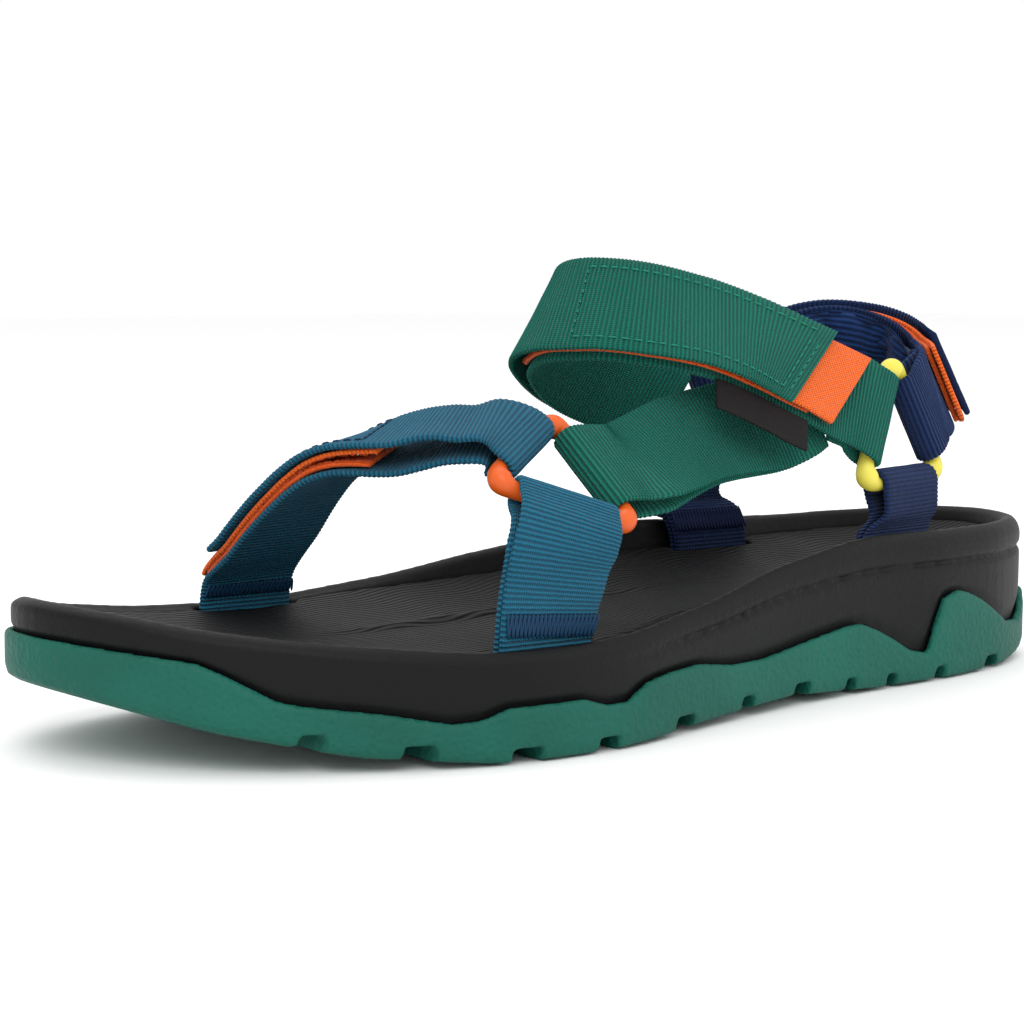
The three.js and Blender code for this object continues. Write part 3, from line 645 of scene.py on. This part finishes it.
# doubled straps and the side label
doubled = [
    {"name": "toeAnchorStrap", "node": "toe_anchor_strap", "colour": "teal", "side": (1, 0, 0)},
    {"name": "outerHeelAnchor", "node": "outer_heel_anchor", "colour": "navy", "side": (1, 0, 0)},
    {"name": "innerHeelAnchor", "node": "inner_heel_anchor", "colour": "navy", "side": (1, 0, 0)},
    {"name": "sideStrap", "node": "side_strap", "colour": "green", "side": (0, 0, 1)},
]
for spec in doubled:
    low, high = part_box(spec["node"])
    start = (middleOf(spec["node"])[0], low[1], low[2])
    if spec["node"] == "side_strap":
        start = (high[0], low[1], high[2])
    band = resampled(traceBand(spec["node"], start, spec["side"]), weaveStep, bandWidth)
    made = bandObject({"ribs": 0.1, **spec}, band, [], [fabrics[spec["colour"]], threads[spec["colour"]]])
    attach(made, "sandal_base")
    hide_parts(spec["node"])

labelStart = middleOf("side_label") - np.array([20 * mm, 0, 0])
labelBand = resampled(traceBand("side_label", labelStart, (0, 0, -1)), 0.6 * mm)
label = bandObject({"name": "sideLabel"}, labelBand, [], [labelFinish(), threads["black"]])
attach(label, "sandal_base")
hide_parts("side_label")


def zigzag(band, step=0.55 * mm):
    chance = random.Random(7)
    width = 2 * np.linalg.norm(band["w"][0])
    ends = (0.1 * mm, width - 0.1 * mm)
    lines, s, far = [], 0.6 * mm, 0
    while s < band["s"][-1] - 0.6 * mm:
        line = []
        for share in (0, 0.2, 0.5, 0.8, 1):
            inset = ends[far] + (ends[1 - far] - ends[far]) * share
            lift = (-0.5 if share in (0, 1) else 0) * mm + chance.uniform(-0.1, 0.15) * mm
            line.append(at(band, s + share * step, inset, lift, 0))
        lines.append(line)
        s += step
        far = 1 - far
    return lines


tacks = [("toe_anchor_tack", "toeAnchorTack", "teal"), ("outer_heel_tack", "outerHeelTack", "navy")]
tacks += [("inner_heel_tack", "innerHeelTack", "navy"), ("toe_strap_tack", "toeStrapTack", "teal")]
for node, name, colour in tacks:
    band = resampled(traceBand(node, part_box(node)[0], (1, 0, 0)), 0.6 * mm)
    points, uvs, faces = [], [], []
    for line in zigzag(band):
        strand(points, uvs, faces, line, 0.32 * mm)
    tack = newObject(name, points, faces, uvs, [threads[colour]])
    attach(tack, "sandal_base")
    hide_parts(node)
print("fixed straps, label and tacks made")


# sole and rings: moulded shapes, softened from the frame's solids
def softened(spec):
    source = frame["nodes"][spec["node"]]
    copy = bpy.data.objects.new(spec["name"], source.data.copy())
    bpy.context.scene.collection.objects.link(copy)
    if "voxel" in spec:
        remesh = copy.modifiers.new("even", "REMESH")
        remesh.mode = "VOXEL"
        remesh.voxel_size = spec["voxel"] * mm
        smooth = copy.modifiers.new("soften", "SMOOTH")
        smooth.factor = 0.5
        smooth.iterations = spec["rounds"]
    else:
        loose = bmesh.new()
        loose.from_mesh(copy.data)
        bmesh.ops.remove_doubles(loose, verts=loose.verts, dist=0.05 * mm)
        bmesh.ops.join_triangles(
            loose, faces=loose.faces, angle_face_threshold=1.2, angle_shape_threshold=3.1
        )
        loose.to_mesh(copy.data)
        loose.free()
        copy.modifiers.new("round", "SUBSURF").levels = 2
    evaluated = copy.evaluated_get(bpy.context.evaluated_depsgraph_get())
    mesh = bpy.data.meshes.new_from_object(evaluated)
    copy.modifiers.clear()
    copy.data = mesh
    mesh.materials.clear()
    mesh.materials.append(spec["finish"])
    mesh.polygons.foreach_set("use_smooth", [True] * len(mesh.polygons))
    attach(copy, "sandal_base")
    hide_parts(spec["node"])


shapes = [
    {
        "node": "outsole",
        "name": "rubberOutsole",
        "voxel": 0.6,
        "rounds": 3,
        "finish": moulded["rubber"],
        "slot": "tread_rubber",
    },
    {
        "node": "midsole",
        "name": "foamMidsole",
        "voxel": 0.7,
        "rounds": 4,
        "finish": moulded["foam"],
        "slot": "sole_foam",
    },
    {
        "node": "footbed",
        "name": "foamFootbed",
        "voxel": 0.7,
        "rounds": 16,
        "finish": moulded["footbed"],
        "slot": "footbed_foam",
    },
    {
        "node": "toe_ring",
        "name": "toeRing",
        "finish": moulded["orange"],
        "slot": "orange_ring",
    },
    {
        "node": "outer_heel_ring",
        "name": "outerHeelRing",
        "finish": moulded["yellow"],
        "slot": "yellow_ring",
    },
    {
        "node": "inner_heel_ring",
        "name": "innerHeelRing",
        "finish": moulded["yellow"],
        "slot": "yellow_ring",
    },
]
for spec in shapes:
    softened(spec)
shank = frame["nodes"]["shank"]
shank.data.materials.clear()
shank.data.materials.append(moulded["nylon"])
print("sole and rings made")

# heel pad: two sheets sewn round their edges, blown up a little as cloth
def padShell(band, cells=14, room=0.45):
    count = len(band["s"])
    points, uvs, faces, seams = [], [], [], []
    for side in (1, -1):
        for i in range(count):
            half = np.linalg.norm(band["w"][i])
            for k in range(cells + 1):
                a = -1 + 2 * k / cells
                edge = k in (0, cells) or i in (0, count - 1)
                if edge or (i % 11 == 5 and k in (4, 10)):
                    seams.append(len(points))
                lift = 0.1 if edge else room
                points.append(band["p"][i] + band["w"][i] * a + band["n"][i] * side * band["thick"][i] * lift)
                uvs.append((a * half, band["s"][i]))
    size = cells + 1
    for side in (0, 1):
        first = side * count * size
        for i in range(count - 1):
            for k in range(cells):
                a = first + i * size + k
                face = (a, a + 1, a + size + 1, a + size)
                faces.append(face[::-1] if side else face)
    rim = list(range(size)) + [i * size + cells for i in range(1, count)]
    rim += [(count - 1) * size + k for k in range(cells - 1, -1, -1)]
    rim += [i * size for i in range(count - 2, 0, -1)]
    for a, b in zip(rim, rim[1:] + rim[:1]):
        faces.append((b, a, a + count * size, b + count * size))
    return points, uvs, faces, seams


def blownUp(piece, seams, scale=20, steps=24):
    piece.data.transform(Matrix.Scale(scale, 4))
    group = piece.vertex_groups.new(name="seams")
    group.add(seams, 1.0, "REPLACE")
    cloth = piece.modifiers.new("cloth", "CLOTH")
    cloth.settings.quality = 6
    cloth.settings.mass = 0.3
    cloth.settings.vertex_group_mass = "seams"
    cloth.settings.use_pressure = True
    cloth.settings.uniform_pressure_force = 6
    cloth.settings.shrink_min = -0.08
    cloth.settings.bending_stiffness = 0.2
    cloth.settings.effector_weights.gravity = 0
    cloth.point_cache.frame_end = steps
    for step in range(1, steps + 1):
        bpy.context.scene.frame_set(step)
    mesh = bpy.data.meshes.new_from_object(piece.evaluated_get(bpy.context.evaluated_depsgraph_get()))
    piece.modifiers.clear()
    piece.vertex_groups.clear()
    piece.data = mesh
    mesh.transform(Matrix.Scale(1 / scale, 4))
    bpy.context.scene.frame_set(1)


padBand = resampled(traceBand("heel_pad", (0.08, -0.02, 0.07), (0, 0, 1)), 1.5 * mm)
points, uvs, faces, seams = padShell(padBand)
pad = newObject("heelPad", points, faces, uvs, [padFinish()])
blownUp(pad, seams)
pad.modifiers.new("round", "SUBSURF").levels = 1
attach(pad, "sandal_base")
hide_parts("heel_pad")
print("heel pad made")


# floor and light
def addStage():
    mesh = bpy.data.meshes.new("floor")
    mesh.from_pydata([(-3, -3, 0), (3, -3, 0), (3, 3, 0), (-3, 3, 0)], [], [(0, 1, 2, 3)])
    floor = bpy.data.objects.new("floor", mesh)
    bpy.context.scene.collection.objects.link(floor)
    made, tree, shader = startFinish("paleFloor")
    shader.inputs["Base Color"].default_value = (0.97, 0.97, 0.97, 1)
    shader.inputs["Roughness"].default_value = 0.7
    mesh.materials.append(made)
    lamps = [
        {"name": "keyLight", "at": (-0.7, -0.9, 1.1), "size": 0.9, "power": 9},
        {"name": "fillLight", "at": (0.9, -0.8, 0.7), "size": 1.2, "power": 2},
        {"name": "topLight", "at": (0.1, 0.5, 1.3), "size": 1.2, "power": 5},
    ]
    for lamp in lamps:
        data = bpy.data.lights.new(lamp["name"], "AREA")
        data.size = lamp["size"]
        data.energy = lamp["power"]
        made = bpy.data.objects.new(lamp["name"], data)
        bpy.context.scene.collection.objects.link(made)
        made.location = lamp["at"]
        made.rotation_euler = (Vector((0, 0, 0.04)) - Vector(lamp["at"])).to_track_quat("-Z", "Y").to_euler()
    world = bpy.data.worlds.new("paleRoom")
    bpy.context.scene.world = world
    world.use_nodes = True
    world.node_tree.nodes["Background"].inputs["Color"].default_value = (1, 1, 1, 1)
    world.node_tree.nodes["Background"].inputs["Strength"].default_value = 1.0
    bpy.context.scene.view_settings.view_transform = "Standard"


addStage()
print("floor and light set")
